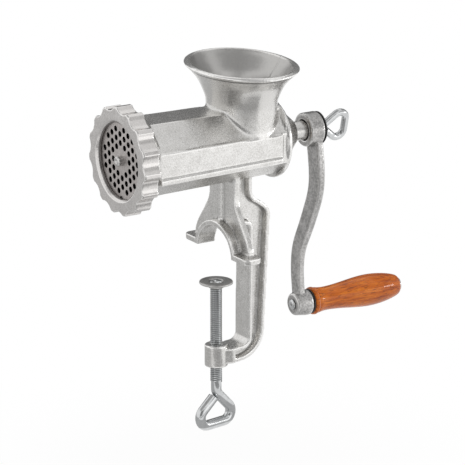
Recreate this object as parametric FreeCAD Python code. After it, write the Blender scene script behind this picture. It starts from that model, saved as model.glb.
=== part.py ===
import FreeCAD, Part
import math
import os

# A hand crank meat grinder that clamps to a table edge, in millimetres.
# It is drawn on the barrel: Y runs along the barrel axis, outlet towards -Y, and Z is up.
# It is written out with its origin between the two clamp toes, on the table top.

# Driving sizes
plate_radius = 31.0
barrel_bore = 23.0
crank_drop = 144.0
crank_swing = -18.0
seat_y = -16.5
seat_z = -83.5
clamp_y = -22.5
running_gap = 0.08
loose_gap = 0.3

# Outlet end, front to back along Y
ring_front = -108.6
ring_back = -94.8
ring_lip = 4.0
ring_opening = 28.75
ring_opening_bevel = 2.0
ring_lobe_radius = 41.2
ring_lobes = 15
ring_flute_radius = 10.4
ring_flute_depth = 3.2
ring_first_lobe = 20.0
ring_bevel = 0.8
thread_radius = 34.4
thread_gap = 0.12
thread_depth = 0.9
thread_lead_in = 1.0
ring_pitch = 3.0
plate_thick = 5.0
hole_radius = 2.25
hole_pitch = 6.65
hole_turn = 5.0
hole_inner = 9.0
hole_outer = 25.0
knife_thick = 5.0
knife_reach = 26.6
knife_hub = 9.5
blade_half = 4.5
blade_bevel_place = 0.5
blade_land = 1.4
stud_radius = 4.0
stud_square = 9.0
stud_proud = 4.6
stud_depth = 16.0
stud_round = 1.5
key_radius = 2.0
key_place = 29.4
key_depth = 2.5
face_gap = 0.1
square_play = 0.2
plate_front = ring_front + ring_lip + face_gap
plate_back = plate_front + plate_thick
knife_front = plate_back + face_gap
knife_back = knife_front + knife_thick
collar_front = plate_front + 0.8
collar_back = -89.5
pocket_floor = knife_back + loose_gap
worm_front = knife_back + 2 * face_gap

# Barrel casting
barrel_back = 22.0
bore_back = 18.0
front_scale = 1.04
back_scale = 0.97
facet_top = (14.0, 27.0)
facet_side_top = (30.0, 10.0)
facet_side_low = (30.0, -13.8)
facet_low = (14.0, -26.0)
band_proud = 1.8
bead_proud = 3.0
bead_height = 5.2
bead_edge = 0.8
band_end = 17.5
flange_radius = 31.5
flange_back = 26.0
flange_edge = 1.0
cone_radius = 27.4
cone_end = 44.0
cone_end_radius = 10.0

# Hopper: half widths across X and Y at each height, from the throat to the mouth
throat = (30.6, 25.0)
mouth = (52.0, 39.0)
throat_inside = (21.0, 18.5)
throat_low = 4.0
throat_shelf = 17.0
flare = ((24.0, 0.0), (28.0, 0.01), (32.0, 0.024), (38.6, 0.15), (46.4, 0.377), (54.0, 0.754), (60.0, 1.0))
hopper_wall = 4.0
rim_round = 1.5

# Stand, fork and clamp frame
frame_half = 10.0
web_half = 4.0
frame_flange = 3.0
apron_front = -17.4
apron_thick = 5.0
apron_edge = ((17.5, -15.0), (17.6, -36.0), (18.8, -44.8), (23.3, -52.5), (28.7, -59.7),
              (34.5, -67.5), (38.0, -75.0))
rib_radius = 4.0
rib_sunk = 1.4
column_top = -15.0
toe_front = -24.3
toe_back = -8.7
toe_outer = 44.5
toe_thick = 4.5
toe_corner = 5.5
arch_inner = (23.5, 20.2)
arch_outer = (27.0, 24.3)
boss_radius = 8.8
boss_top = -156.5
boss_low = -173.5
arm_end = -14.0
neck_low = -171.0
neck_height = 11.4

# Clamp screw and its pressure disc
screw_radius = 4.5
bar_radius = 4.0
screw_pitch = 1.5
screw_depth = 0.75
disc_radius = 12.8
disc_top = -106.5
disc_rim = 1.6
disc_edge = 0.5
disc_neck = 5.6
disc_low = -111.6
rivet_radius = 3.0
rivet_head = 5.0
rivet_recess = 1.2
rivet_play = 0.25
thread_end = -187.0
loop_turn = 10.0
loop_corner = 7.0
loop_drop = 32.8
loop_points = ((0.0, 1.0), (0.0, -8.0), (24.0, -loop_drop), (-28.5, -loop_drop), (-2.95, -11.6))

# Feed screw, shaft and crank
worm_radius = 22.3
worm_core = 9.0
worm_pitch = 28.0
worm_turns = 3.5
worm_thick = 4.5
worm_tip_share = 0.6
worm_root_sunk = 2.0
shoulder_radius = 15.0
shoulder_length = 4.1
shoulder_taper = 8.0
washer_thick = 1.5
journal_radius = 7.4
bush_radius = 9.0
drive_square = 10.4
hub_front = 54.7
hub_back = 67.6
hub_radius = 13.0
hub_recess_radius = 8.2
hub_recess = 3.0
arm_front = 61.3
arm_thick = 6.0
arm_round = 1.8
arm_line = ((0.0, 0.0, 16.0), (2.8, -15.0, 16.2), (5.0, -31.0, 16.0), (4.2, -47.0, 15.2),
            (-2.4, -65.0, 14.4), (-11.0, -83.0, 13.6), (-18.6, -99.0, 12.8), (-21.0, -112.0, 12.2),
            (-20.4, -128.0, 11.8), (crank_swing, -crank_drop, 11.6))
eye_front = 58.0
eye_back = 72.0
eye_front_radius = 8.7
eye_back_radius = 10.0
eye_edge = 1.0
eye_band = 4.0
thumb_radius = 3.0
thumb_bar = 2.85
thumb_collar = 4.8
thumb_collar_thick = 1.2
thumb_depth = 17.0
thumb_washer = 12.6
thumb_washer_thick = 1.2
thumb_corner = 6.0
thumb_turn = 14.0
thumb_points = ((0.0, 0.0), (3.7, 0.0), (24.9, 16.5), (24.9, -17.9), (7.9, -3.2))

# Wooden grip on its spindle
spindle_radius = 3.4
spindle_head = 1.6
spindle_head_edge = 0.5
spindle_head_proud = 0.9
grip_bore = 3.7
grip_washer_thick = 1.5
grip_washer_radius = 9.6
grip_play = 0.2
grip_back = 154.3
grip_form = ((0.0, 10.7), (2.5, 10.9), (5.5, 10.2), (11.0, 9.2), (18.0, 9.3), (32.0, 10.6), (47.0, 12.3),
             (56.0, 12.4), (66.0, 11.4), (75.5, 9.4))
grip_end_radius = 7.2
cap_radius = 5.2
cap_thick = 1.8

V = FreeCAD.Vector
along_y = V(0, 1, 0)
along_z = V(0, 0, 1)


# A round bar along Y
def bar_y(radius, start, end, x=0.0, z=0.0):
    return Part.makeCylinder(radius, end - start, V(x, start, z), along_y)


# A round bar along Z
def bar_z(radius, low, high, x=0.0, y=0.0):
    return Part.makeCylinder(radius, high - low, V(x, y, low), along_z)


# A closed polygon as a face
def polygon(points):
    return Part.Face(Part.makePolygon(list(points) + [points[0]]))


# A profile of (radius, y) points turned about the Y axis at x, z
def turned_y(profile, x=0.0, z=0.0):
    face = polygon([V(x + r, y, z) for r, y in profile])
    return face.revolve(V(x, 0, z), along_y, 360)


# A profile of (radius, z) points turned about the Z axis at x, y
def turned_z(profile, x=0.0, y=0.0):
    face = polygon([V(x + r, y, z) for r, z in profile])
    return face.revolve(V(x, y, 0), along_z, 360)


# Zigzag (radius, place) points of ring threads between two places on an axis
def thread_profile(start, end, crest, root, pitch):
    count = int((end - start) / pitch)
    points = []
    for ring in range(count):
        place = start + ring * pitch
        points.append((crest, place))
        points.append((crest, place + pitch / 5))
        points.append((root, place + pitch * 3 / 5))
    points.append((crest, start + count * pitch))
    points.append((crest, end))
    return points


# A path of straight runs with a tangent arc at each inner point
def rounded_path(points, corner):
    edges = []
    last = points[0]
    for before, here, after in zip(points, points[1:], points[2:]):
        back = (before - here).normalize()
        ahead = (after - here).normalize()
        half = back.getAngle(ahead) / 2
        reach = corner / math.tan(half)
        centre = here + (back + ahead).normalize() * (corner / math.sin(half))
        begin = here + back * reach
        end = here + ahead * reach
        middle = centre + (here - centre).normalize() * corner
        edges.append(Part.LineSegment(last, begin).toShape())
        edges.append(Part.Arc(begin, middle, end).toShape())
        last = end
    edges.append(Part.LineSegment(last, points[-1]).toShape())
    return Part.Wire(edges)


# A round bar bent along a path
def bent_bar(path, radius):
    first = path.Edges[0]
    start = first.Vertexes[0].Point
    along = first.Vertexes[1].Point - start
    circle = Part.Wire(Part.makeCircle(radius, start, along))
    return path.makePipeShell([circle], True, False)


# An ellipse lying level, as a wire
def level_ellipse(half_x, half_y, height):
    ellipse = Part.Ellipse(V(0, 0, height), half_x, half_y)
    return Part.Wire(ellipse.toShape())


# Octagonal barrel with a raised band along each side
def barrel_section(scale, place, corners):
    right = [V(x * scale, place, z * scale) for x, z in corners]
    left = [V(-p.x, p.y, p.z) for p in reversed(right)]
    return Part.makePolygon(right + left + [right[0]])


def barrel():
    corners = (facet_top, facet_side_top, facet_side_low, facet_low)
    front = barrel_section(front_scale, collar_back - 1, corners)
    back = barrel_section(back_scale, barrel_back + 1, corners)
    body = Part.makeLoft([front, back], True, True)
    side, top = facet_side_top
    low = facet_side_low[1]
    band = [facet_side_top, (side + band_proud, top - bead_edge / 2),
            (side + band_proud, low + bead_height), (side + bead_proud, low + bead_height - bead_edge),
            (side + bead_proud, low + bead_edge),
            (side + bead_proud - bead_edge, low), facet_side_low]
    band_front = barrel_section(front_scale, collar_back - 1, band)
    band_back = barrel_section(back_scale, band_end, band)
    body = body.fuse(Part.makeLoft([band_front, band_back], True, True))
    collar = [(0, collar_front), (thread_radius - thread_depth, collar_front)]
    collar += thread_profile(collar_front + thread_lead_in, ring_back - thread_lead_in, thread_radius,
                             thread_radius - thread_depth, ring_pitch)
    collar += [(thread_radius, ring_back), (facet_side_top[0] + 2, collar_back), (0, collar_back)]
    body = body.fuse(turned_y(collar))
    edge = flange_edge
    flange = turned_y([(0, barrel_back), (flange_radius - edge, barrel_back),
                       (flange_radius, barrel_back + edge), (flange_radius, flange_back - edge),
                       (flange_radius - edge, flange_back), (0, flange_back)])
    cone = turned_y([(0, flange_back - edge), (cone_radius, flange_back - edge),
                     (cone_end_radius, cone_end), (0, cone_end)])
    return body.fuse([flange, cone])


# Flared oval hopper at a height, narrower by an inset
def hopper_ring(height, share, inset):
    half_x = throat[0] + (mouth[0] - throat[0]) * share - inset
    half_y = throat[1] + (mouth[1] - throat[1]) * share - inset
    return level_ellipse(half_x, half_y, height)


# The flare up to the rim, and past it by some height
def hopper_flare(inset, past):
    wires = [hopper_ring(height, share, inset) for height, share in flare]
    if past > 0:
        (before, share_before), (rim, share) = flare[-2:]
        slope = (share - share_before) / (rim - before)
        wires.append(hopper_ring(rim + past, share + slope * past, inset))
    return Part.makeLoft(wires, True, False)


def hopper_outside():
    low = level_ellipse(throat[0], throat[1], throat_low)
    neck = Part.Face(low).extrude(V(0, 0, flare[0][0] - throat_low))
    return neck.fuse(hopper_flare(0, 0))


def hopper_inside():
    shelf = level_ellipse(throat_inside[0], throat_inside[1], throat_shelf)
    funnel = Part.makeLoft([shelf, hopper_ring(flare[0][0], flare[0][1], hopper_wall)], True, True)
    low = level_ellipse(throat_inside[0], throat_inside[1], throat_low)
    neck = Part.Face(low).extrude(V(0, 0, throat_shelf - throat_low))
    return hopper_flare(hopper_wall, 2 * rim_round).fuse([funnel, neck])


# Clamp frame in side view: column, S-shaped back, spine and lower arm, as an I-section
def frame_outline():
    front = apron_front + 1.8
    jaw = seat_z + arch_inner[1]
    top = column_top
    runs = [("line", (front, top), (3.2, top)), ("line", (3.2, top), (3.2, -37)),
            ("arc", (3.2, -37), (5.0, -42), (9.5, -45.4)), ("line", (9.5, -45.4), (14, -48.8)),
            ("arc", (14, -48.8), (17.9, -52.9), (19.4, -58.5)), ("line", (19.4, -58.5), (14.4, -148)),
            ("arc", (14.4, -148), (8.4, -162.8), (-6, -170.2)), ("line", (-6, -170.2), (arm_end, -171.2)),
            ("line", (arm_end, -171.2), (arm_end, -159.6)), ("line", (arm_end, -159.6), (-4.8, -158.6)),
            ("arc", (-4.8, -158.6), (-1.0, -156.8), (0.6, -153)), ("line", (0.6, -153), (1.6, jaw - 4)),
            ("arc", (1.6, jaw - 4), (0.4, jaw - 1.2), (-2.4, jaw)), ("line", (-2.4, jaw), (front, jaw)),
            ("line", (front, jaw), (front, top))]
    edges = []
    for kind, *places in runs:
        points = [V(0, y, z) for y, z in places]
        if kind == "line":
            edges.append(Part.LineSegment(*points).toShape())
        else:
            edges.append(Part.Arc(*points).toShape())
    return Part.Wire(edges)


def clamp_frame():
    outline = frame_outline()
    solid = Part.Face(outline).extrude(V(2 * frame_half, 0, 0)).translated(V(-frame_half, 0, 0))
    pocket = Part.Face(outline.makeOffset2D(-frame_flange))
    depth = frame_half - web_half
    right = pocket.extrude(V(depth + 1, 0, 0)).translated(V(web_half, 0, 0))
    left = pocket.extrude(V(depth + 1, 0, 0)).translated(V(-frame_half - 1, 0, 0))
    solid = solid.cut([right, left])
    neck_end = clamp_y + boss_radius / 3
    neck_half = boss_radius - 0.5
    neck = polygon([V(frame_half, arm_end + 0.5, neck_low), V(frame_half, arm_end - 0.2, neck_low),
                    V(neck_half, neck_end, neck_low), V(-neck_half, neck_end, neck_low),
                    V(-frame_half, arm_end - 0.2, neck_low), V(-frame_half, arm_end + 0.5, neck_low)])
    neck = neck.extrude(V(0, 0, neck_height))
    boss = bar_z(boss_radius, boss_low, boss_top, 0, clamp_y)
    return solid.fuse([neck, boss])


# Fork: apron plate with a rib, an arched flange and two flat toes
def fork():
    right = Part.BSplineCurve()
    right.interpolate([V(x, apron_front, z) for x, z in apron_edge])
    left = Part.BSplineCurve()
    left.interpolate([V(-x, apron_front, z) for x, z in apron_edge])
    top = apron_edge[0]
    low = apron_edge[-1]
    toe_top = seat_z + 1
    feet = [V(low[0], apron_front, low[1]), V(low[0], apron_front, toe_top),
            V(-low[0], apron_front, toe_top), V(-low[0], apron_front, low[1])]
    edges = [right.toShape(), left.toShape()]
    edges += [Part.makeLine(start, end) for start, end in zip(feet, feet[1:])]
    edges.append(Part.makeLine(V(-top[0], apron_front, top[1]), V(top[0], apron_front, top[1])))
    wire = Part.Wire(Part.__sortEdges__(edges))
    apron = Part.Face(wire).extrude(V(0, apron_thick, 0))
    rib = bar_z(rib_radius, seat_z + arch_outer[1] - 2, column_top, 0, apron_front + rib_sunk)
    toe_run = toe_back - toe_front
    toes = Part.makeBox(2 * toe_outer, toe_run, toe_thick, V(-toe_outer, toe_front, seat_z))
    corner_edges = [e for e in toes.Edges if abs(e.Vertexes[0].Z - e.Vertexes[1].Z) > toe_thick / 2]
    toes = toes.makeFillet(toe_corner, corner_edges)
    turn = FreeCAD.Placement(V(0, toe_front, seat_z), FreeCAD.Rotation(V(1, 0, 0), -90))
    outer = Part.Face(Part.Wire(Part.Ellipse(V(0, 0, 0), *arch_outer).toShape()))
    outer.Placement = turn
    arch = outer.extrude(V(0, toe_run, 0))
    above = Part.makeBox(2 * toe_outer, toe_run, 2 * toe_outer, V(-toe_outer, toe_front, seat_z))
    arch = arch.common(above)
    inner = Part.Face(Part.Wire(Part.Ellipse(V(0, 0, 0), *arch_inner).toShape()))
    inner.Placement = turn
    tunnel = inner.extrude(V(0, toe_run + 4, 0)).translated(V(0, -2, 0))
    return apron.fuse([rib, toes, arch]).cut(tunnel)


# One casting: barrel, hopper, rear cone, fork and clamp frame
def make_housing():
    body = barrel()
    body = body.fuse([hopper_outside(), clamp_frame(), fork()])
    bore = bar_y(barrel_bore, pocket_floor - 5, bore_back)
    pocket = bar_y(plate_radius + loose_gap, collar_front - 5, pocket_floor)
    bearing = bar_y(bush_radius, bore_back - 2, cone_end + 2)
    key_hole = bar_y(key_radius, collar_front, pocket_floor + key_depth, 0, -key_place)
    screw_hole = bar_z(screw_radius + running_gap, boss_low - 1, boss_top + 1, 0, clamp_y)
    body = body.cut([hopper_inside(), bore, pocket, bearing, key_hole, screw_hole])
    level = [e for e in body.Edges if e.BoundBox.ZLength < 0.05]
    rim = [e for e in level if abs(e.BoundBox.ZMin - flare[-1][0]) < 0.05]
    return body.makeFillet(rim_round, rim)


# Pin that keeps the hole plate from turning
def make_plate_key_pin():
    return bar_y(key_radius, plate_front + 1, pocket_floor + key_depth, 0, -key_place)


# Bronze bush pressed into the rear cone
def make_rear_bush():
    sleeve = bar_y(bush_radius, bore_back, cone_end + loose_gap)
    return sleeve.cut(bar_y(journal_radius + running_gap, bore_back - 1, cone_end + 2))


# Thrust washer between the feed screw and the rear wall
def make_thrust_washer():
    ring = bar_y(shoulder_radius, bore_back - washer_thick, bore_back)
    return ring.cut(bar_y(journal_radius + loose_gap, bore_back - 5, bore_back + 1))


# Feed screw: helical flight on a core, rear journal, drive square and tapped end
def make_auger():
    shoulder_back = bore_back - washer_thick - face_gap
    shoulder_front = shoulder_back - shoulder_length
    height = worm_pitch * worm_turns
    helix = Part.makeHelix(worm_pitch, height, worm_core)
    root = worm_core - worm_root_sunk
    half = worm_thick / 2
    tip = half * worm_tip_share
    flight_profile = Part.makePolygon([V(root, 0, -half), V(worm_radius, 0, -tip), V(worm_radius, 0, tip),
                                       V(root, 0, half), V(root, 0, -half)])
    flight = Part.Wire(helix).makePipeShell([flight_profile], True, True)
    flight = flight.mirror(V(0, 0, 0), V(1, 0, 0))
    flight.rotate(V(0, 0, 0), V(1, 0, 0), -90)
    flight.translate(V(0, worm_front + half, 0))
    square_start = hub_front + hub_recess - square_play
    square_end = hub_back - 1
    half_square = drive_square / 2
    core = turned_y([(0, worm_front), (worm_core, worm_front), (worm_core, shoulder_front - shoulder_taper),
                     (shoulder_radius, shoulder_front), (shoulder_radius, shoulder_back),
                     (journal_radius, shoulder_back), (journal_radius, square_start), (0, square_start)])
    drive = Part.makeBox(drive_square, square_end - square_start + 2, drive_square,
                         V(-half_square, square_start - 2, -half_square))
    drive = drive.common(bar_y(journal_radius - loose_gap, square_start - 3, square_end))
    body = core.fuse([flight, drive])
    stud_hole = bar_y(stud_radius, worm_front - 2, worm_front + stud_depth)
    tapped = bar_y(thumb_radius + running_gap, hub_back - thumb_depth - 2, hub_back)
    return body.cut([stud_hole, tapped])


# Steel stud in the nose of the feed screw: square for the knife, round for the plate
def make_knife_stud():
    tip = plate_front - stud_proud
    pin = bar_y(stud_radius, tip, worm_front + stud_depth)
    tip_edge = [e for e in pin.Edges if abs(e.BoundBox.YMax - tip) < 0.01]
    pin = pin.makeFillet(stud_round, tip_edge)
    half = stud_square / 2
    square = Part.makeBox(stud_square, worm_front - knife_front, stud_square, V(-half, knife_front, -half))
    return pin.fuse(square)


# Four-armed knife on the square of the stud
def make_cross_knife():
    hub = bar_y(knife_hub, knife_front, knife_back)
    blade = [V(-blade_half, knife_front, 0), V(-blade_half, knife_front, knife_reach),
             V(blade_half / 2, knife_front, knife_reach), V(blade_half, knife_front, knife_hub)]
    arm = polygon(blade).extrude(V(0, knife_thick, 0))
    above = knife_back + face_gap
    aside = 2 * blade_half
    bevel = polygon([V(blade_bevel_place, above, 0), V(aside, above, 0),
                     V(aside, knife_front + blade_land, 0)])
    arm = arm.cut(bevel.extrude(V(0, 0, knife_reach + 1)))
    arms = []
    for quarter in range(4):
        turned = arm.copy()
        turned.rotate(V(0, 0, 0), along_y, 90 * quarter)
        arms.append(turned)
    knife = hub.fuse(arms)
    hole = stud_square + square_play
    return knife.cut(Part.makeBox(hole, 2 * knife_thick, hole, V(-hole / 2, knife_front - 2, -hole / 2)))


# Hole plate: a disc of hexagonally spaced holes, notched for its key pin
def hole_places():
    column_step = hole_pitch * math.sqrt(3) / 2
    reach = int(plate_radius / column_step) + 1
    turn = FreeCAD.Rotation(along_y, -hole_turn)
    places = []
    for column in range(-reach, reach + 1):
        for row in range(-reach, reach + 1):
            place = V(column * column_step, plate_front, (row + (column % 2) / 2) * hole_pitch)
            if hole_inner < math.hypot(place.x, place.z) < hole_outer:
                places.append(turn.multVec(place))
    return places


def make_hole_plate():
    middle = V(0, plate_front, 0)
    circles = [Part.makeCircle(plate_radius, middle, along_y),
               Part.makeCircle(stud_radius + running_gap, middle, along_y)]
    circles += [Part.makeCircle(hole_radius, place, along_y) for place in hole_places()]
    face = Part.makeFace([Part.Wire(circle) for circle in circles], "Part::FaceMakerBullseye")
    disc = face.extrude(V(0, plate_thick, 0))
    notch = bar_y(key_radius + loose_gap, plate_front - 1, plate_back + 1, 0, -key_place)
    return disc.cut(notch)


# Scalloped ring nut that holds the plate in the mouth
def make_ring_nut():
    body = bar_y(ring_lobe_radius, ring_front, ring_back)
    flutes = []
    for lobe in range(ring_lobes):
        angle = math.radians(ring_first_lobe + (lobe + 0.5) * 360 / ring_lobes)
        away = ring_lobe_radius + ring_flute_radius - ring_flute_depth
        flutes.append(bar_y(ring_flute_radius, ring_front - 1, ring_back + 1,
                            away * math.cos(angle), away * math.sin(angle)))
    body = body.cut(flutes)
    outside = turned_y([(0, ring_front), (ring_lobe_radius - ring_bevel, ring_front),
                        (ring_lobe_radius, ring_front + ring_bevel), (ring_lobe_radius, ring_back),
                        (0, ring_back)])
    body = body.common(outside)
    seat = ring_front + ring_lip
    opening = turned_y([(0, ring_front), (ring_opening + ring_opening_bevel, ring_front),
                        (ring_opening, ring_front + ring_opening_bevel), (ring_opening, seat + 1),
                        (0, seat + 1)])
    crest = thread_radius + thread_gap
    threads = [(0, seat), (crest, seat)]
    threads += thread_profile(seat + thread_lead_in, ring_back - thread_lead_in / 2, crest,
                              crest + thread_depth, ring_pitch)
    threads += [(crest, ring_back + 1), (0, ring_back + 1)]
    return body.cut([opening, turned_y(threads)])


# Cast crank: hub, S-shaped arm and the eye for the grip
def arm_outline():
    centre = Part.BSplineCurve()
    centre.interpolate([V(x, arm_front, z) for x, z, width in arm_line])
    left, right = [], []
    for x, z, width in arm_line:
        here = V(x, arm_front, z)
        along = centre.tangent(centre.parameter(here))[0]
        across = along.cross(along_y).normalize()
        left.append(here + across * (width / 2))
        right.append(here - across * (width / 2))
    edges = [Part.makeLine(left[0], right[0]), Part.makeLine(left[-1], right[-1])]
    for points in (left, right):
        side = Part.BSplineCurve()
        side.interpolate(points)
        edges.append(side.toShape())
    return Part.Wire(Part.__sortEdges__(edges))


def make_crank_arm():
    arm = Part.Face(arm_outline()).extrude(V(0, arm_thick, 0))
    long_edges = [e for e in arm.Edges if e.Length > crank_drop / 2]
    arm = arm.makeFillet(arm_round, long_edges)
    hub = bar_y(hub_radius, hub_front, hub_back)
    hub = hub.makeFillet(arm_round, [e for e in hub.Edges if e.BoundBox.YLength < 0.01])
    edge = eye_edge
    eye = turned_y([(0, eye_front), (eye_front_radius - edge, eye_front),
                    (eye_front_radius, eye_front + edge), (eye_back_radius, eye_back - eye_band),
                    (eye_back_radius, eye_back - edge), (eye_back_radius - edge, eye_back), (0, eye_back)],
                   crank_swing, -crank_drop)
    body = arm.fuse([hub, eye])
    hole = drive_square + square_play
    square = Part.makeBox(hole, hub_back, hole, V(-hole / 2, hub_front, -hole / 2))
    recess = bar_y(hub_recess_radius, hub_front - 1, hub_front + hub_recess)
    pin_hole = bar_y(spindle_radius, eye_front - 1, eye_back + 1, crank_swing, -crank_drop)
    return body.cut([square, recess, pin_hole])


# Washer under the thumb screw
def make_crank_washer():
    start = hub_back + face_gap
    ring = bar_y(thumb_washer, start, start + thumb_washer_thick)
    return ring.cut(bar_y(thumb_radius + loose_gap, hub_back - 1, hub_back + 2 * thumb_washer_thick))


# Thumb screw: a threaded bar bent into a three-cornered loop
def make_crank_screw():
    seat = hub_back + thumb_washer_thick + 2 * face_gap
    stem = bar_y(thumb_radius, hub_back - thumb_depth, seat)
    collar = bar_y(thumb_collar, seat, seat + thumb_collar_thick)
    path = rounded_path([V(0, hub_back + out, up) for out, up in thumb_points], thumb_corner)
    body = stem.fuse([collar, bent_bar(path, thumb_bar)])
    body.rotate(V(0, 0, 0), along_y, thumb_turn)
    return body


# Spindle of the grip, riveted in the crank's eye
def make_grip_spindle():
    head_radius = spindle_radius + spindle_head_proud
    tip = eye_front - spindle_head
    end = grip_back + grip_play
    profile = [(0, tip), (spindle_radius - spindle_head_edge, tip),
               (head_radius, eye_front - spindle_head_edge), (head_radius, eye_front),
               (spindle_radius, eye_front), (spindle_radius, end), (0, end)]
    return turned_y(profile, crank_swing, -crank_drop)


# Black washer between the eye and the grip
def make_grip_washer():
    ring = bar_y(grip_washer_radius, eye_back, eye_back + grip_washer_thick, crank_swing, -crank_drop)
    return ring.cut(bar_y(spindle_radius, eye_back - 1, eye_back + 5, crank_swing, -crank_drop))


# Turned wooden grip
def make_wood_grip():
    start = eye_back + grip_washer_thick + grip_play
    profile = [V(crank_swing + radius, start + along, -crank_drop) for along, radius in grip_form]
    profile.append(V(crank_swing + grip_end_radius, grip_back, -crank_drop))
    curve = Part.BSplineCurve()
    curve.interpolate(profile)
    first = V(crank_swing + grip_bore, start, -crank_drop)
    last = V(crank_swing + grip_bore, grip_back, -crank_drop)
    edges = [curve.toShape(), Part.makeLine(curve.EndPoint, last), Part.makeLine(last, first),
             Part.makeLine(first, curve.StartPoint)]
    face = Part.Face(Part.Wire(Part.__sortEdges__(edges)))
    return face.revolve(V(crank_swing, 0, -crank_drop), along_y, 360)


# Domed cap on the far end of the spindle
def make_grip_end_cap():
    base = grip_back + grip_play
    top = base + cap_thick
    return turned_y([(0, base), (cap_radius, base), (cap_radius, base + cap_thick / 3),
                     (cap_radius * 3 / 4, base + cap_thick * 5 / 6), (cap_radius / 2, top), (0, top)],
                    crank_swing, -crank_drop)


# Clamp screw: threaded stem, riveted end and a bent loop to turn it by
def make_clamp_screw():
    stem_top = disc_low - face_gap
    head_low = disc_top - rivet_recess + face_gap
    head_high = disc_top - face_gap
    root = screw_radius - screw_depth
    stem = [(0, thread_end)]
    stem += thread_profile(thread_end, stem_top - thread_lead_in, screw_radius, root, screw_pitch)
    stem += [(screw_radius, stem_top), (rivet_radius, stem_top), (rivet_radius, head_low),
             (rivet_head, head_low), (rivet_head * 4 / 5, head_high), (0, head_high)]
    stem = turned_z(stem, 0, clamp_y)
    path = rounded_path([V(0, along, thread_end + up) for along, up in loop_points], loop_corner)
    loop = bent_bar(path, bar_radius)
    loop.rotate(V(0, 0, 0), along_z, loop_turn)
    loop.translate(V(0, clamp_y, 0))
    return stem.fuse(loop)


# Dished pressure disc, free to turn on the riveted end of the screw
def make_clamp_disc():
    hole = rivet_radius + rivet_play
    dimple = rivet_head + 2 * rivet_play
    floor = disc_top - rivet_recess
    profile = [(hole, disc_low), (disc_neck, disc_low), (disc_neck + 0.8, disc_low + disc_rim),
               (disc_radius, disc_top - disc_rim), (disc_radius, disc_top - disc_edge),
               (disc_radius - disc_edge, disc_top), (dimple + rivet_play, disc_top), (dimple, floor),
               (hole, floor)]
    return turned_z(profile, 0, clamp_y)


pieces = {
    "housing": make_housing,
    "plate_key_pin": make_plate_key_pin,
    "rear_bush": make_rear_bush,
    "thrust_washer": make_thrust_washer,
    "auger": make_auger,
    "knife_stud": make_knife_stud,
    "cross_knife": make_cross_knife,
    "hole_plate": make_hole_plate,
    "ring_nut": make_ring_nut,
    "crank_arm": make_crank_arm,
    "crank_washer": make_crank_washer,
    "crank_screw": make_crank_screw,
    "grip_spindle": make_grip_spindle,
    "grip_washer": make_grip_washer,
    "wood_grip": make_wood_grip,
    "grip_end_cap": make_grip_end_cap,
    "clamp_screw": make_clamp_screw,
    "clamp_disc": make_clamp_disc,
}

os.makedirs("parts", exist_ok=True)
for name, make in pieces.items():
    solid = make().translated(V(0, -seat_y, -seat_z))
    print(name, "valid" if solid.isValid() else "not valid", len(solid.Solids), round(solid.Volume))
    solid.exportStep("parts/" + name + ".step")
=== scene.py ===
import math

import bmesh
import bpy
from mathutils import Matrix, Vector, noise


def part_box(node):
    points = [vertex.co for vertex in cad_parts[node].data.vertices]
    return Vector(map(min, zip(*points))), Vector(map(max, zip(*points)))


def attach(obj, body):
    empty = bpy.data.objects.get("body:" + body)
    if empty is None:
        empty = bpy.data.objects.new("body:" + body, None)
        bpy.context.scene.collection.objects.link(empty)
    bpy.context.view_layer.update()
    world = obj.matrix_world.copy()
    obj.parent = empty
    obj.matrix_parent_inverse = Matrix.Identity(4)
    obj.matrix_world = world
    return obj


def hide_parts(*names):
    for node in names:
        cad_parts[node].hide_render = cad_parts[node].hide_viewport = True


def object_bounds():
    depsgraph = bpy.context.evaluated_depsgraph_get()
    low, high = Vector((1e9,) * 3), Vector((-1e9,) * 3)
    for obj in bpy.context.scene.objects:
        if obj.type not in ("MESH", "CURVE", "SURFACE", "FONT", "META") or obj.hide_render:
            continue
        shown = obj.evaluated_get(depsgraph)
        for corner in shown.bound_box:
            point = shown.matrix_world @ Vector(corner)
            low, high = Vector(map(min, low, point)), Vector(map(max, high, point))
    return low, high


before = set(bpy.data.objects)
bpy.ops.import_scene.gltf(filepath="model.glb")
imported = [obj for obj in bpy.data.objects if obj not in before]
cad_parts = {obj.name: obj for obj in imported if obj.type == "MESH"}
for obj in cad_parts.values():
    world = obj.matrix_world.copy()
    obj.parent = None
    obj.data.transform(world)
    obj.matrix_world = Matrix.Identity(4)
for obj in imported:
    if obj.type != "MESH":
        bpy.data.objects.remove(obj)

cad_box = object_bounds()
scene = bpy.context.scene


# Camera
# It looks down on the outlet and the right side from three metres off through a long lens,
# so the grinder shows almost without perspective.
mm = 0.001
view_azimuth = math.radians(57.89)
view_elevation = math.radians(16.90)
view_distance = 2995 * mm
focal_length_pixels = 4000
photo_width_pixels = 465
level = math.cos(view_elevation)
view_right = Vector((math.cos(view_azimuth), math.sin(view_azimuth), 0))
view_back = Vector((math.sin(view_azimuth) * level,
                    -math.cos(view_azimuth) * level,
                    math.sin(view_elevation)))
view_up = view_back.cross(view_right)
barrel_height = 83.5
hopper_foot = Vector((0, 16.5, barrel_height)) * mm
aim_left = 6.7 * mm
aim_down = 69.0 * mm
aim = hopper_foot - aim_left * view_right - aim_down * view_up
lens = bpy.data.cameras.new("camera")
lens.sensor_width = 36
lens.lens = lens.sensor_width * focal_length_pixels / photo_width_pixels
camera = bpy.data.objects.new("camera", lens)
turn = Matrix((view_right, view_up, view_back)).transposed().to_4x4()
camera.matrix_world = Matrix.Translation(aim + view_back * view_distance) @ turn
scene.collection.objects.link(camera)
scene.camera = camera


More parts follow.
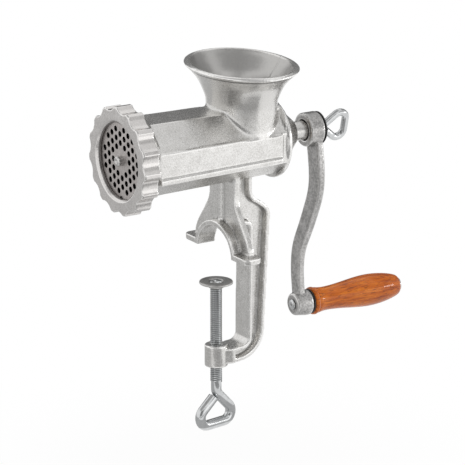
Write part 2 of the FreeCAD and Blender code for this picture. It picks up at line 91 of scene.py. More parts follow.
# Casting
# Barrel, hopper, rear cone, fork and clamp frame are one sand-cast iron piece, tumbled and tin-plated.
# Its edges and inner corners are soft, and the skin keeps the grain of the sand.
class Socket:
    """A shader socket whose sums add Math nodes, and which adds any other node beside it."""

    def __init__(self, tree, output=None):
        self.tree = tree
        self.output = output

    def node(self, kind, settings, inputs, output=0):
        """A new node with its settings, values and links, given as the socket of one of its outputs."""
        made = self.tree.nodes.new("ShaderNode" + kind)
        for name, value in settings.items():
            if name == "stops":
                first, *middle, last = value
                ramp = made.color_ramp.elements
                for element, (place, colour) in zip((ramp[0], ramp[1]), (first, last)):
                    element.position = place
                    element.color = (*colour, 1)
                for place, colour in middle:
                    ramp.new(place).color = (*colour, 1)
            else:
                setattr(made, name, value)
        for name, value in inputs.items():
            if isinstance(value, Socket):
                self.tree.links.new(value.output, made.inputs[name])
            else:
                made.inputs[name].default_value = value
        return Socket(self.tree, made.outputs[output])

    def maths(self, operation, first, second):
        return self.node("Math", {"operation": operation}, {0: first, 1: second})

    def __add__(self, other):
        return self.maths("ADD", self, other)

    def __radd__(self, other):
        return self.maths("ADD", other, self)

    def __sub__(self, other):
        return self.maths("SUBTRACT", self, other)

    def __rsub__(self, other):
        return self.maths("SUBTRACT", other, self)

    def __mul__(self, other):
        return self.maths("MULTIPLY", self, other)

    def __rmul__(self, other):
        return self.maths("MULTIPLY", other, self)

    def between(self, low, high):
        """0 below low, 1 above high and a smooth step between them."""
        settings = {"interpolation_type": "SMOOTHSTEP"}
        return self.node("MapRange", settings, {"Value": self, "From Min": low, "From Max": high})

    def place(self):
        """Where a point lies on the object."""
        return self.node("TexCoord", {}, {}, "Object")

    def speckle(self, place, scale, detail, roughness):
        """Even noise, with scale to the metre."""
        inputs = {"Vector": place, "Scale": scale, "Detail": detail, "Roughness": roughness}
        return self.node("TexNoise", {}, inputs)

    def mix(self, share, first, second):
        """A blend of two colours, each a socket or a plain red, green and blue."""
        first, second = (part if isinstance(part, Socket) else (*part, 1) for part in (first, second))
        return self.node("Mix", {"data_type": "RGBA"}, {0: share, 6: first, 7: second}, 2)

    def bump(self, relief):
        """The normal that a relief, in metres, gives the surface."""
        return self.node("Bump", {}, {"Height": relief, "Strength": 1.0, "Distance": 1.0}, "Normal")


def start_finish(name, **constants):
    """A new material with its Principled shader's plain values, and a socket to build on."""
    material = bpy.data.materials.new(name)
    material.use_nodes = True
    shader = material.node_tree.nodes["Principled BSDF"]
    for socket, value in constants.items():
        shader.inputs[socket.replace("_", " ")].default_value = value
    return material, shader, Socket(material.node_tree)


def feed(shader, **sockets):
    """Links what varies over the surface to the shader."""
    for name, value in sockets.items():
        shader.id_data.links.new(value.output, shader.inputs[name.replace("_", " ")])


def tinned_finish(name, dark, bright, grain_depth, roughness, blur, smooth_above=None, fineness=820.0):
    """Tin plating over a sand-cast skin: fine grain, slow waves, pits, painted shade in hollows, and edges
    lightened partly for wear and partly as a painted highlight.
    """
    material, shader, start = start_finish(name, Metallic=1.0)
    place = start.place()
    grain = start.speckle(place, fineness, 4.0, 0.65)
    patches = start.speckle(place, 90.0, 3.0, 0.5)
    waves = start.speckle(place, 210.0, 2.0, 0.5)
    pits = start.speckle(place, 520.0, 2.0, 0.5).between(0.68, 0.76)
    skin = 1.0
    if smooth_above is not None:
        height = start.node("SeparateXYZ", {}, {"Vector": place}, "Z")
        polished = height.between(smooth_above - 6 * mm, smooth_above + 8 * mm)
        skin = 1 - 0.72 * polished
    wear = start.node("Attribute", {"attribute_name": "wear"}, {}, "Fac")
    # Painted shade darkens hollows and corners. Edges are lightened partly for tumbling wear and partly as a
    # painted highlight.
    rubbed_and_highlit = wear.between(0.15, 0.75)
    painted_hollow_shade = (0 - wear).between(0.12, 0.8)
    mottle = (0.7 * grain + 0.3 * patches - 0.5) * skin
    shade = mottle.between(-blur, blur)
    pit_colour = [0.6 * part for part in dark]
    painted_hollow_shade_colour = [0.3 * part for part in dark]
    rubbed_highlight_colour = (0.93, 0.92, 0.905)
    colour = start.mix(shade, dark, bright)
    colour = start.mix(pits * 0.5 * skin, colour, pit_colour)
    colour = start.mix(painted_hollow_shade * 0.75, colour, painted_hollow_shade_colour)
    colour = start.mix(rubbed_and_highlit * 0.8, colour, rubbed_highlight_colour)
    dull = roughness + 0.10 * (patches - 0.5) + 0.16 * (grain - 0.5) + 0.12 * painted_hollow_shade - 0.06 * rubbed_and_highlit
    wave_depth = 0.10 * mm
    relief = (grain * skin - 0.9 * pits * skin) * grain_depth + waves * wave_depth
    feed(shader, Base_Color=colour, Roughness=dull, Normal=start.bump(relief))
    return material


def worked(bm, kind, **settings):
    """Runs one modifier over a mesh."""
    pattern = bpy.data.meshes.new("pattern")
    bm.to_mesh(pattern)
    mould = bpy.data.objects.new("mould", pattern)
    scene.collection.objects.link(mould)
    modifier = mould.modifiers.new("work", kind)
    for name, value in settings.items():
        setattr(modifier, name, value)
    shell = mould.evaluated_get(bpy.context.evaluated_depsgraph_get())
    bm.clear()
    bm.from_mesh(shell.to_mesh())
    shell.to_mesh_clear()
    bpy.data.objects.remove(mould)


def soften(bm, verts):
    """Draws each of these points half way to the middle of its neighbours."""
    bmesh.ops.smooth_vert(bm, verts=verts, factor=0.5, use_axis_x=True, use_axis_y=True, use_axis_z=True)


def cast_skin(node, grid, rounds):
    """The node's shape with its sharp edges and corners softened, as a sand mould leaves them."""
    bm = bmesh.new()
    bm.from_mesh(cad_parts[node].data)
    bmesh.ops.remove_doubles(bm, verts=bm.verts, dist=0.002 * mm)
    worked(bm, "REMESH", mode="VOXEL", voxel_size=grid)
    for _ in range(rounds):
        soften(bm, bm.verts)
    return bm


def mark_wear_and_shade(bm, rounds, depth):
    """Notes how far each point stands out of the shape round it (an edge) or lies in it (a corner)."""
    bm.normal_update()
    places = [vert.co.copy() for vert in bm.verts]
    facing = [vert.normal.copy() for vert in bm.verts]
    for _ in range(rounds):
        soften(bm, bm.verts)
    # This layer lightens edges for wear and as a painted highlight, and darkens corners as painted shade.
    wear = bm.verts.layers.float.new("wear")
    for vert, place, normal in zip(bm.verts, places, facing):
        vert[wear] = (place - vert.co).dot(normal) / depth
        vert.co = place


def put(name, bm, node, body, material, sharp=35):
    """Makes the finished mesh a piece that stands for its node and moves with its body."""
    mesh = bpy.data.meshes.new(name)
    bm.to_mesh(mesh)
    bm.free()
    mesh.polygons.foreach_set("use_smooth", [True] * len(mesh.polygons))
    mesh.set_sharp_from_angle(angle=math.radians(sharp))
    mesh.materials.append(material)
    piece = bpy.data.objects.new(name, mesh)
    scene.collection.objects.link(piece)
    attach(piece, body)
    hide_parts(node)
    return piece


def round_hopper(vert):
    """A point's place from the hopper's foot, the way out from its axis, and how far the point faces out."""
    aside = vert.co - hopper_foot
    outward = Vector((aside.x, aside.y, 0)).normalized()
    return aside, outward, outward.dot(vert.normal)


casting = cast_skin("housing", grid=0.7 * mm, rounds=2)
throat_half = Vector((30.6, 25.0)) * mm
throat_inset = 1.5 * mm
fillet_low = 8 * mm
fillet_high = 27 * mm
for reach, rounds in ((5 * mm, 10), (3.2 * mm, 14), (2 * mm, 10)):
    fillet = []
    for vert in casting.verts:
        aside = vert.co - hopper_foot
        share = math.hypot(aside.x / throat_half.x, aside.y / throat_half.y)
        off = (share - 1) * throat_half.y
        if -throat_inset < off < reach and fillet_low < aside.z < fillet_high + reach:
            fillet.append(vert)
    for _ in range(rounds):
        soften(casting, fillet)

casting.normal_update()
rim_height = 60 * mm
bead_height = 4.0 * mm
bead_low = rim_height - bead_height
bead_swell = 1.3 * mm
seam_front = 12 * mm
seam_low = 24 * mm
seam_half_width = 0.9 * mm
seam_height = 0.3 * mm
for vert in casting.verts:
    aside, outward, facing_out = round_hopper(vert)
    if aside.z > bead_low:
        share = math.sqrt(math.sin(math.pi * min(1, (aside.z - bead_low) / bead_height)))
        vert.co += outward * (max(0, facing_out) * share * bead_swell)
    inside = aside.y > seam_front and aside.z > seam_low and facing_out < -0.2
    if inside and abs(aside.x) < seam_half_width:
        vert.co += vert.normal * seam_height

mark_wear_and_shade(casting, rounds=8, depth=0.32 * mm)
wear = casting.verts.layers.float["wear"]
hopper_low = 26 * mm
edge_reach = 0.8 * mm
hopper_painted_shade = -0.45
bead_foot_painted_shade = -0.8
# Painted shade: the inside of the hopper is darkened, and a dark line is painted under the rim bead.
for vert in casting.verts:
    aside, outward, facing_out = round_hopper(vert)
    if hopper_low < aside.z < rim_height - edge_reach and facing_out < -0.1:
        vert[wear] = min(vert[wear], hopper_painted_shade)
    if abs(aside.z - bead_low) < edge_reach and facing_out > 0.1:
        vert[wear] = bead_foot_painted_shade
worked(casting, "DECIMATE", ratio=0.4)
tin = tinned_finish("tinned_iron", (0.56, 0.55, 0.53), (0.84, 0.83, 0.815),
                    grain_depth=0.055 * mm, roughness=0.26, blur=0.23, smooth_above=112 * mm)
put("casting", casting, "housing", "housing", tin, sharp=70)


# Bush, thrust washer and key pin
# A bronze bush and washer carry the feed screw at the back, and a steel pin in the outlet stops the plate
# from turning. They are plain turned pieces, pressed in, and hardly show.
def ground_finish(name, dark, bright, roughness, along, painted_shade_behind=None):
    """Ground or turned metal, with fine scratches along one direction and painted shade, nearly black, behind
    some depth.
    """
    material, shader, start = start_finish(name, Metallic=1.0)
    place = start.place()
    stretched = start.node("Mapping", {}, {"Vector": place, "Scale": along})
    scratches = start.speckle(stretched, 900.0, 3.0, 0.6)
    clouds = start.speckle(place, 120.0, 2.0, 0.5)
    colour = start.mix((0.5 * scratches + 0.5 * clouds).between(0.3, 0.7), dark, bright)
    dull = roughness + 0.18 * (scratches - 0.5) + 0.1 * (clouds - 0.5)
    if painted_shade_behind is not None:
        # Painted shade: the hole walls and everything behind this depth are darkened to nearly black.
        depth = start.node("SeparateXYZ", {}, {"Vector": place}, "Y")
        behind = depth.between(painted_shade_behind - 0.2 * mm, painted_shade_behind)
        colour = start.mix(behind, colour, (0.015, 0.014, 0.013))
        dull = dull + 0.3 * behind
    scratch_depth = 0.05 * mm
    feed(shader, Base_Color=colour, Roughness=dull, Normal=start.bump(scratches * scratch_depth))
    return material


def clad(node, material):
    """Gives a CAD node that keeps its own shape its finish."""
    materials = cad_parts[node].data.materials
    materials.clear()
    materials.append(material)


bronze = ground_finish("bronze", (0.42, 0.27, 0.12), (0.60, 0.42, 0.22),
                       roughness=0.38, along=(1, 0.1, 1))
plate_steel = ground_finish("plate_steel", (0.50, 0.47, 0.455), (0.66, 0.625, 0.61),
                            roughness=0.42, along=(1, 1, 0.25))
clad("rear_bush", bronze)
clad("thrust_washer", bronze)
clad("plate_key_pin", plate_steel)


# Feed screw
# A cast and tinned iron screw that turns in the barrel, with a turned journal and a square at the back.
# It shows at the bottom of the hopper and between the rear cone and the crank.
feed_screw = cast_skin("auger", grid=0.85 * mm, rounds=2)
mark_wear_and_shade(feed_screw, rounds=5, depth=0.32 * mm)
worn_and_shaded_tin = tinned_finish("feed_screw_tin", (0.54, 0.53, 0.515), (0.72, 0.71, 0.695),
                         grain_depth=0.03 * mm, roughness=0.28, blur=0.2)
put("feed_screw", feed_screw, "auger", "crank", worn_and_shaded_tin, sharp=50)


# Stud, knife and hole plate
# A steel stud in the nose of the feed screw drives a four-armed knife against a ground plate of round holes.
# The stud's rounded end stands out of the plate and has a turned dimple.
def span(node, axis):
    """Where a node starts and ends along an axis, in millimetres."""
    low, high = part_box(node)
    return low.dot(axis) / mm, high.dot(axis) / mm


def turned(outline, base, centre, axis, steps=64):
    """Turns an outline of radii and places past a base, in millimetres, about an axis."""
    bm = bmesh.new()
    side = axis.orthogonal().normalized()
    verts = [bm.verts.new(centre + side * (radius * mm) + axis * ((base + place) * mm))
             for radius, place in outline]
    edges = [bm.edges.new(pair) for pair in zip(verts, verts[1:])]
    bmesh.ops.spin(bm, geom=verts + edges, cent=centre, axis=axis, angle=math.tau, steps=steps,
                   use_merge=True)
    bmesh.ops.remove_doubles(bm, verts=bm.verts, dist=0.001 * mm)
    bmesh.ops.recalc_face_normals(bm, faces=bm.faces)
    return bm


def round_edges(bm, width, angle=30, segments=3):
    """Rounds every edge that is sharper than an angle."""
    sharp = [e for e in bm.edges if e.is_manifold and e.calc_face_angle() > math.radians(angle)]
    bmesh.ops.bevel(bm, geom=sharp, offset=width, offset_type="OFFSET", affect="EDGES", segments=segments,
                    profile=0.5, material=-1, clamp_overlap=True)


along_y = Vector((0, 1, 0))
crank_axis = Vector((0, 0, barrel_height)) * mm
stud_tip = span("knife_stud", along_y)[0]
stud_radius = 4.0
stud_length = 32.6
stud_outline = ((0, 0.9), (0.9, 0.7), (1.7, 0), (2.9, 0), (stud_radius, 1.1), (stud_radius, stud_length),
                (0, stud_length))
stud = turned(stud_outline, stud_tip, crank_axis, along_y, steps=40)
round_edges(stud, 0.35 * mm)
square_side = 9 * mm
square_depth_share = 0.55
square_middle = Vector((0, -80.3, barrel_height)) * mm
square_seat = Matrix.Translation(square_middle) @ Matrix.Diagonal((1, square_depth_share, 1, 1))
bmesh.ops.create_cube(stud, size=square_side, matrix=square_seat)
stud_steel = ground_finish("stud_steel", (0.50, 0.49, 0.48), (0.70, 0.69, 0.68),
                           roughness=0.24, along=(1, 0.1, 1))
put("stud", stud, "knife_stud", "crank", stud_steel)

clad("cross_knife", plate_steel)
plate_front = span("hole_plate", along_y)[0]
hole_lip = 0.4
# The plate gets painted shade behind its front, in its holes.
hole_plate_steel = ground_finish("hole_plate_steel", (0.46, 0.43, 0.415), (0.62, 0.585, 0.57),
                                 roughness=0.40, along=(1, 1, 0.25),
                                 painted_shade_behind=(plate_front + hole_lip) * mm)
clad("hole_plate", hole_plate_steel)


# Ring nut
# A cast ring with fifteen lobes for the hand, threaded inside, that screws on the outlet and holds the plate.
# Its front is faced and its flutes are smooth from the tumbling.
ring = cast_skin("ring_nut", grid=0.5 * mm, rounds=1)
mark_wear_and_shade(ring, rounds=8, depth=0.25 * mm)
bore_radius = 29.3 * mm
bore_start = -90.6 * mm
bore_painted_shade = -0.7
wear = ring.verts.layers.float["wear"]
# Painted shade: the bore behind the ring's front is darkened.
for vert in ring.verts:
    if vert.co.y > bore_start and math.hypot(vert.co.x, vert.co.z - crank_axis.z) < bore_radius:
        vert[wear] = bore_painted_shade
ring_tin = tinned_finish("ring_tin", (0.63, 0.61, 0.595), (0.78, 0.76, 0.745),
                         grain_depth=0.018 * mm, roughness=0.23, blur=0.26)
put("ring", ring, "ring_nut", "ring", ring_tin, sharp=50)


# Crank
# The crank is cast in one piece, with a round hub on the feed screw's square, a flat S-shaped arm
# and an eye for the grip's spindle.
crank = cast_skin("crank_arm", grid=0.6 * mm, rounds=2)
mark_wear_and_shade(crank, rounds=8, depth=0.3 * mm)
crank_tin = tinned_finish("crank_tin", (0.30, 0.296, 0.29), (0.56, 0.55, 0.54),
                          grain_depth=0.12 * mm, roughness=0.33, blur=0.13, fineness=700.0)
put("crank", crank, "crank_arm", "crank", crank_tin, sharp=50)


# Thumb screw and its washer
# A steel rod, threaded at one end and bent to a three-cornered loop for the fingers, zinc-plated.
# It pulls the crank on to the shaft over a blackened washer.
def black_finish(name):
    """Blackened steel, worn paler in specks."""
    material, shader, start = start_finish(name, Metallic=0.6)
    place = start.place()
    worn = start.speckle(place, 400.0, 4.0, 0.6)
    colour = start.mix(worn.between(0.35, 0.75), (0.012, 0.012, 0.012), (0.05, 0.049, 0.047))
    feed(shader, Base_Color=colour, Roughness=0.34 + 0.3 * worn)
    return material


def zinc_finish(name):
    """Bright zinc plating, with painted shade in the roots of a thread and in other marked hollows."""
    material, shader, start = start_finish(name, Metallic=1.0)
    root = start.node("Attribute", {"attribute_name": "root"}, {}, "Fac").between(0.45, 1.0)
    place = start.place()
    bloom = start.speckle(place, 180.0, 3.0, 0.6)
    fine = start.speckle(place, 1400.0, 2.0, 0.5)
    colour = start.mix(bloom.between(0.3, 0.7), (0.56, 0.57, 0.575), (0.66, 0.67, 0.675))
    # Painted shade: the marked roots and hollows are darkened.
    colour = start.mix(root * 0.8, colour, (0.15, 0.15, 0.147))
    dull = 0.05 + 0.09 * bloom + 0.05 * fine + 0.2 * root
    bloom_depth = 0.03 * mm
    feed(shader, Base_Color=colour, Roughness=dull, Normal=start.bump(bloom * bloom_depth))
    return material


def flat_washer(node, hole, radius, centre, rounding):
    """A flat washer where its node lies, with its hole and radius in millimetres."""
    front, back = span(node, along_y)
    thickness = back - front
    outline = ((hole, 0), (radius, 0), (radius, thickness), (hole, thickness), (hole, 0))
    washer = turned(outline, front, centre, along_y)
    round_edges(washer, rounding)
    return washer


def run_on(bm, rim, step):
    """Carries a rim of edges on by one straight run."""
    made = bmesh.ops.extrude_edge_only(bm, edges=rim)["geom"]
    bmesh.ops.translate(bm, vec=step, verts=[part for part in made if isinstance(part, bmesh.types.BMVert)])
    return [part for part in made if isinstance(part, bmesh.types.BMEdge)]


def bent_rod(bm, points, corner, radius, sides=24, steps=10):
    """A round rod along straight runs, with a bend at each inner point."""
    along = (points[1] - points[0]).normalized()
    seat = Matrix.Translation(points[0]) @ along.to_track_quat("Z", "Y").to_matrix().to_4x4()
    made = bmesh.ops.create_circle(bm, segments=sides, radius=radius, cap_ends=True, matrix=seat)
    rim = list(dict.fromkeys(edge for vert in made["verts"] for edge in vert.link_edges))
    last = points[0]
    for before, here, after in zip(points, points[1:], points[2:]):
        back = (before - here).normalized()
        ahead = (after - here).normalized()
        half = back.angle(ahead) / 2
        begin = here + back * (corner / math.tan(half))
        centre = here + (back + ahead).normalized() * (corner / math.sin(half))
        rim = run_on(bm, rim, begin - last)
        bend = bmesh.ops.spin(bm, geom=rim, cent=centre, axis=ahead.cross(back).normalized(),
                              angle=math.pi - 2 * half, steps=steps)
        rim = [part for part in bend["geom_last"] if isinstance(part, bmesh.types.BMEdge)]
        last = here + ahead * (corner / math.tan(half))
    rim = run_on(bm, rim, points[-1] - last)
    bmesh.ops.contextual_create(bm, geom=rim)


def screw_thread(bm, start, axis, turns, pitch, crest, root, steps=32):
    """A right-handed thread of whole turns, closed at both ends."""
    # The thread's roots are marked for painted shade.
    dark = bm.verts.layers.float.new("root")
    side = axis.orthogonal().normalized()
    profile = ((root, 0.0), (crest, 0.28), (crest, 0.64), (root, 1.0))
    verts = [bm.verts.new(start + side * radius + axis * (pitch * share)) for radius, share in profile]
    verts[0][dark] = verts[-1][dark] = 1
    edges = [bm.edges.new(pair) for pair in zip(verts, verts[1:])]
    bmesh.ops.spin(bm, geom=verts + edges, cent=start, axis=axis, dvec=axis * (pitch / steps),
                   angle=math.tau * turns, steps=steps * turns)
    bmesh.ops.remove_doubles(bm, verts=bm.verts, dist=0.001 * mm)
    bmesh.ops.holes_fill(bm, edges=[edge for edge in bm.edges if edge.is_boundary], sides=0)


black = black_finish("black_steel")
zinc = zinc_finish("zinc_steel")
washer = flat_washer("crank_washer", hole=3.4, radius=12.6, centre=crank_axis, rounding=0.25 * mm)
put("thumb_washer", washer, "crank_washer", "thumb_washer", black)

hub_back = 84.1
collar_outline = ((0, 1.4), (4.8, 1.4), (4.8, 2.6), (3.0, 3.1), (0, 3.1))
thumb = turned(collar_outline, hub_back, crank_axis, along_y, steps=40)
thumb_turn = Matrix.Rotation(math.radians(14), 4, "Y")
thumb_route = ((-3, 0), (3.7, 0), (24.9, 16.5), (24.9, -17.9), (7.9, -3.2))
thumb_points = [crank_axis + thumb_turn @ (Vector((0, hub_back + out, up)) * mm) for out, up in thumb_route]
bent_rod(thumb, thumb_points, corner=6 * mm, radius=2.85 * mm)
round_edges(thumb, 0.3 * mm, angle=50)
thumb_pitch = 1.0
thumb_turns = 17
thumb_tip = hub_back - thumb_turns * thumb_pitch
screw_thread(thumb, crank_axis + along_y * (thumb_tip * mm), along_y,
             turns=thumb_turns, pitch=thumb_pitch * mm, crest=3.0 * mm, root=2.45 * mm, steps=24)
bmesh.ops.recalc_face_normals(thumb, faces=thumb.faces)
put("thumb_loop", thumb, "crank_screw", "thumb_screw", zinc)


# Grip with its spindle, washer and end cap
# The grip is turned from a straight-grained hardwood and varnished to a gloss. It turns on a steel spindle
# that is riveted in the crank's eye and capped at its free end.
def varnished_wood_finish(name):
    """Straight-grained reddish wood with fine pores, under a clear gloss."""
    material, shader, start = start_finish(name, Specular_IOR_Level=0.1, Coat_Roughness=0.06, Coat_IOR=1.45)
    place = start.place()
    drawn = start.node("Mapping", {}, {"Vector": place, "Rotation": (0.05, 0, 0.09), "Scale": (1, 0.09, 1)})
    rings = start.speckle(drawn, 420.0, 4.0, 0.6)
    pores = start.speckle(drawn, 1300.0, 2.0, 0.6).between(0.53, 0.66)
    tone = start.speckle(place, 38.0, 2.0, 0.5)
    stops = [(0.34, (0.37, 0.062, 0.002)), (0.5, (0.62, 0.138, 0.005)), (0.66, (0.80, 0.225, 0.014))]
    colour = start.node("ValToRGB", {"stops": stops}, {"Fac": 0.7 * rings + 0.3 * tone})
    colour = start.mix(pores * 0.6, colour, (0.17, 0.035, 0.004))
    pore_depth = 0.03 * mm
    feed(shader, Base_Color=colour, Roughness=0.42 + 0.15 * rings, Coat_Weight=0.65 + 0.2 * tone,
         Normal=start.bump(pores * -pore_depth))
    return material


grip_axis = Vector((-18, 0, -60.5)) * mm
spindle_front, spindle_back = span("grip_spindle", along_y)
spindle_length = spindle_back - spindle_front
spindle_outline = ((0, 0.7), (0.9, 0.6), (1.2, 0), (2.7, 0), (3.6, 0.6), (4.3, 1.2), (4.3, 1.6), (3.4, 1.6),
                   (3.4, spindle_length), (0, spindle_length))
spindle = turned(spindle_outline, spindle_front, grip_axis, along_y, steps=32)
round_edges(spindle, 0.2 * mm)
dimple_radius = 1.1 * mm
head_edge = 3.9 * mm
# Painted shade: the spindle's dimple and the rim round its head are marked to be darkened.
dark = spindle.verts.layers.float.new("root")
for vert in spindle.verts:
    off = math.hypot(vert.co.x - grip_axis.x, vert.co.z - grip_axis.z)
    vert[dark] = float(off > head_edge or off < dimple_radius)
put("spindle", spindle, "grip_spindle", "crank", zinc)

eye_washer = flat_washer("grip_washer", hole=3.4, radius=9.6, centre=grip_axis, rounding=0.3 * mm)
put("eye_washer", eye_washer, "grip_washer", "crank", black)

grip_start = span("wood_grip", along_y)[0]
grip_outline = ((3.7, 0), (9.4, 0), (10.4, 0.5), (10.9, 2.0), (10.8, 3.2), (9.8, 3.7), (9.7, 4.2),
                (10.2, 4.8), (9.9, 6.5), (9.35, 9.5), (9.15, 14.0), (9.35, 19.0), (9.9, 26.0), (10.7, 33.0),
                (11.6, 40.0), (12.25, 47.0), (12.5, 53.0), (12.3, 59.0), (11.5, 66.0), (10.4, 72.0),
                (9.2, 76.5), (8.2, 79.3), (7.3, 80.4), (6.2, 80.6), (3.7, 80.6), (3.7, 0))
grip = turned(grip_outline, grip_start, grip_axis, along_y, steps=56)
wood = varnished_wood_finish("varnished_wood")
grip_piece = put("grip", grip, "wood_grip", "grip", wood, sharp=60)
rounding = grip_piece.modifiers.new("rounding", "SUBSURF")
rounding.levels = 1
rounding.render_levels = 1
# The soft plating shows no orange of the grip.
grip_piece.visible_glossy = False

cap_base = span("grip_end_cap", along_y)[0]
cap_outline = ((0, 0), (5.6, 0), (5.6, 1.3), (4.6, 2.0), (2.8, 2.4), (0, 2.5))
cap = turned(cap_outline, cap_base, grip_axis, along_y, steps=40)
round_edges(cap, 0.2 * mm, angle=40)
put("grip_cap", cap, "grip_end_cap", "crank", zinc)


# Clamp screw and pressure disc
# The clamp screw is a steel rod with a rolled thread, bent to a loop for the hand, zinc-plated.
# Its upper end is peened over in a pressed steel disc that stays still on the table while the screw turns.
along_z = Vector((0, 0, 1))
clamp_axis = Vector((0, -6, 0)) * mm
disc_low, disc_top = span("clamp_disc", along_z)
collar_low = disc_low - disc_top
disc_hole = 3.25
disc_outline = ((disc_hole, collar_low), (5.6, collar_low), (6.4, -3.5), (12.8, -1.6), (12.8, -0.5),
                (12.3, 0), (5.75, 0), (5.5, -1.2), (disc_hole, -1.2), (disc_hole, collar_low))
disc = turned(disc_outline, disc_top, clamp_axis, along_z, steps=72)
round_edges(disc, 0.3 * mm)
disc_steel = ground_finish("disc_steel", (0.43, 0.425, 0.415), (0.63, 0.62, 0.61),
                           roughness=0.33, along=(1, 1, 1))
put("pressure_disc", disc, "clamp_disc", "clamp_pad", disc_steel)

peened_outline = ((0, -6.0), (3.0, -6.0), (3.0, -1.1), (5.2, -1.1), (5.1, -0.5), (4.2, -0.1), (3.2, 0.15),
                  (2.2, 0.1), (1.1, -0.3), (0, -0.35))
screw = turned(peened_outline, disc_top, clamp_axis, along_z, steps=40)
peened_above = (disc_top - 0.6) * mm
peening_per_metre = 500
peening_depth = 0.7 * mm
for vert in screw.verts:
    if vert.co.z > peened_above:
        vert.co.z += noise.noise(vert.co * peening_per_metre) * peening_depth
thread_low = -103.5
loop_turn = Matrix.Rotation(math.radians(10), 4, "Z")
loop_route = ((0, 2), (0, -8), (24.0, -32.8), (-28.5, -32.8), (-2.95, -11.6))
loop_points = [clamp_axis + loop_turn @ (Vector((0, out, thread_low + up)) * mm) for out, up in loop_route]
bent_rod(screw, loop_points, corner=7 * mm, radius=4 * mm, sides=28, steps=12)
round_edges(screw, 0.45 * mm, angle=50)
screw_thread(screw, clamp_axis + along_z * (thread_low * mm), along_z,
             turns=50, pitch=1.5 * mm, crest=4.5 * mm, root=3.6 * mm)
bmesh.ops.recalc_face_normals(screw, faces=screw.faces)
put("clamp_loop", screw, "clamp_screw", "clamp_screw", zinc)


# Floor and light
# A plain white floor lies below the clamp screw's lowest place and keeps a soft shadow. Two soft boxes and
# a pale room light the grinder. Grey and white boards and a small bright window, all out of view, give
# the metal its shading.
clamp_drop = 45 * mm
floor_low = cad_box[0].z - clamp_drop
floor_radius = 6
bm = bmesh.new()
bmesh.ops.create_circle(bm, segments=96, radius=floor_radius, cap_ends=True,
                        matrix=Matrix.Translation((0, 0, floor_low)))
floor_mesh = bpy.data.meshes.new("floor")
bm.to_mesh(floor_mesh)
bm.free()
floor = bpy.data.objects.new("floor", floor_mesh)
scene.collection.objects.link(floor)


def seen_as_white(start):
    """1 on what the camera, a reflection or a clear piece sees, and 0 on what only lights the object."""
    path = start.node("LightPath", {}, {}, "Is Camera Ray")
    rays = path.output.node.outputs
    reflected = Socket(start.tree, rays["Is Glossy Ray"])
    passed_through = Socket(start.tree, rays["Is Transmission Ray"])
    total = path + reflected + passed_through
    return total.maths("MINIMUM", total, 1.0)


material = bpy.data.materials.new("white_floor")
material.use_nodes = True
tree = material.node_tree
tree.nodes.clear()
start = Socket(tree)
place = start.place()
shadow_full = 0.04
shadow_end = 0.34
shadow_share = 0.12
away = start.node("VectorMath", {"operation": "LENGTH"}, {0: place}, "Value")
near = 1 - away.between(shadow_full, shadow_end)
matt = start.node("BsdfDiffuse", {}, {"Color": (0.8, 0.8, 0.8, 1)})
white = start.node("Emission", {}, {"Color": (1, 1, 1, 1), "Strength": 1.0})
shown = start.node("MixShader", {}, {0: 1 - shadow_share * near, 1: matt, 2: white})
both = start.node("MixShader", {}, {0: seen_as_white(start), 1: matt, 2: shown})
out = tree.nodes.new("ShaderNodeOutputMaterial")
tree.links.new(both.output, out.inputs["Surface"])
floor_mesh.materials.append(material)


def board(name, place, facing, width, height, shade):
    """A board out of view that only the bright metal reflects."""
    bm = bmesh.new()
    shape = Matrix.Diagonal((width, height, 1, 1))
    bmesh.ops.create_grid(bm, x_segments=1, y_segments=1, size=0.5, matrix=shape)
    bm.transform(Matrix.Translation(place) @ Vector(facing).to_track_quat("Z", "Y").to_matrix().to_4x4())
    mesh = bpy.data.meshes.new(name)
    bm.to_mesh(mesh)
    bm.free()
    paint = start_finish(name, Base_Color=(0, 0, 0, 1), Specular_IOR_Level=0.0, Emission_Strength=1.0,
                         Emission_Color=(shade, shade, shade, 1))[0]
    mesh.materials.append(paint)
    made = bpy.data.objects.new(name, mesh)
    made.visible_camera = False
    made.visible_diffuse = False
    made.visible_shadow = False
    made.visible_transmission = False
    scene.collection.objects.link(made)


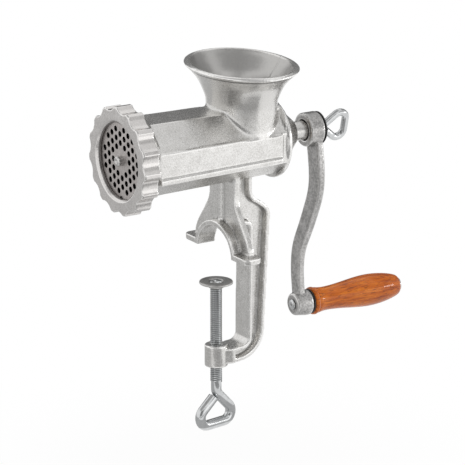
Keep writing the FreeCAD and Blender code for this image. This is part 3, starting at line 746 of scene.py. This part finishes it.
board("board_behind", (-0.95, 0.75, 0.36), (0.8, -0.6, -0.1), 2.2, 1.0, 0.20)
board_low = cad_box[0].z + 3.7 * mm
board("board_left", (-0.52, -0.34, board_low), (0, 0, 1), 1.1, 0.9, 0.54)
board("board_above", (0.0, -0.35, 1.25), (0, 0.2, -1), 1.5, 1.5, 0.45)
board("board_front", (0.95, -0.6, 0.42), (-0.8, 0.5, -0.3), 1.0, 0.9, 0.28)
board("board_high", (0.45, 0.8, 1.25), (-0.3, -0.5, -0.8), 1.2, 1.2, 0.82)
board("board_right", (0.85, 0.55, 0.08), (-1, -0.6, 0), 0.9, 0.44, 1.35)
board("board_right_high", (0.85, 0.75, 0.6), (-0.7, -0.6, -0.4), 1.0, 0.7, 0.56)
board("board_fore", (0.42, -0.28, board_low), (0, 0, 1), 0.66, 0.72, 0.40)
board("board_far", (-0.16, 1.08, 0.84), (0.12, -0.83, -0.54), 0.9, 0.7, 0.40)
board("window", (0.46, 0.78, 0.12), (-0.59, -0.78, -0.22), 0.21, 0.10, 10)


def soft_box(name, place, size, watts):
    """A square lamp that faces the barrel and doesn't show in the metal."""
    lamp = bpy.data.lights.new(name, "AREA")
    lamp.shape = "SQUARE"
    lamp.size = size
    lamp.energy = watts
    made = bpy.data.objects.new(name, lamp)
    facing = (Vector(place) - hopper_foot).to_track_quat("Z", "Y").to_matrix().to_4x4()
    made.matrix_world = Matrix.Translation(place) @ facing
    made.visible_camera = False
    made.visible_glossy = False
    scene.collection.objects.link(made)


soft_box("soft_box_right", (0.75, 0.75, 1.15), size=0.9, watts=8)
soft_box("soft_box_left", (0.1, -1.3, 0.9), size=0.8, watts=6)

world = bpy.data.worlds.new("studio")
scene.world = world
world.use_nodes = True
tree = world.node_tree
start = Socket(tree)
background = tree.nodes["Background"]
room_light = 0.55
strength = room_light + (1 - room_light) * seen_as_white(start)
tree.links.new(strength.output, background.inputs["Strength"])
background.inputs["Color"].default_value = (1, 1, 1, 1)
scene.view_settings.view_transform = "Standard"
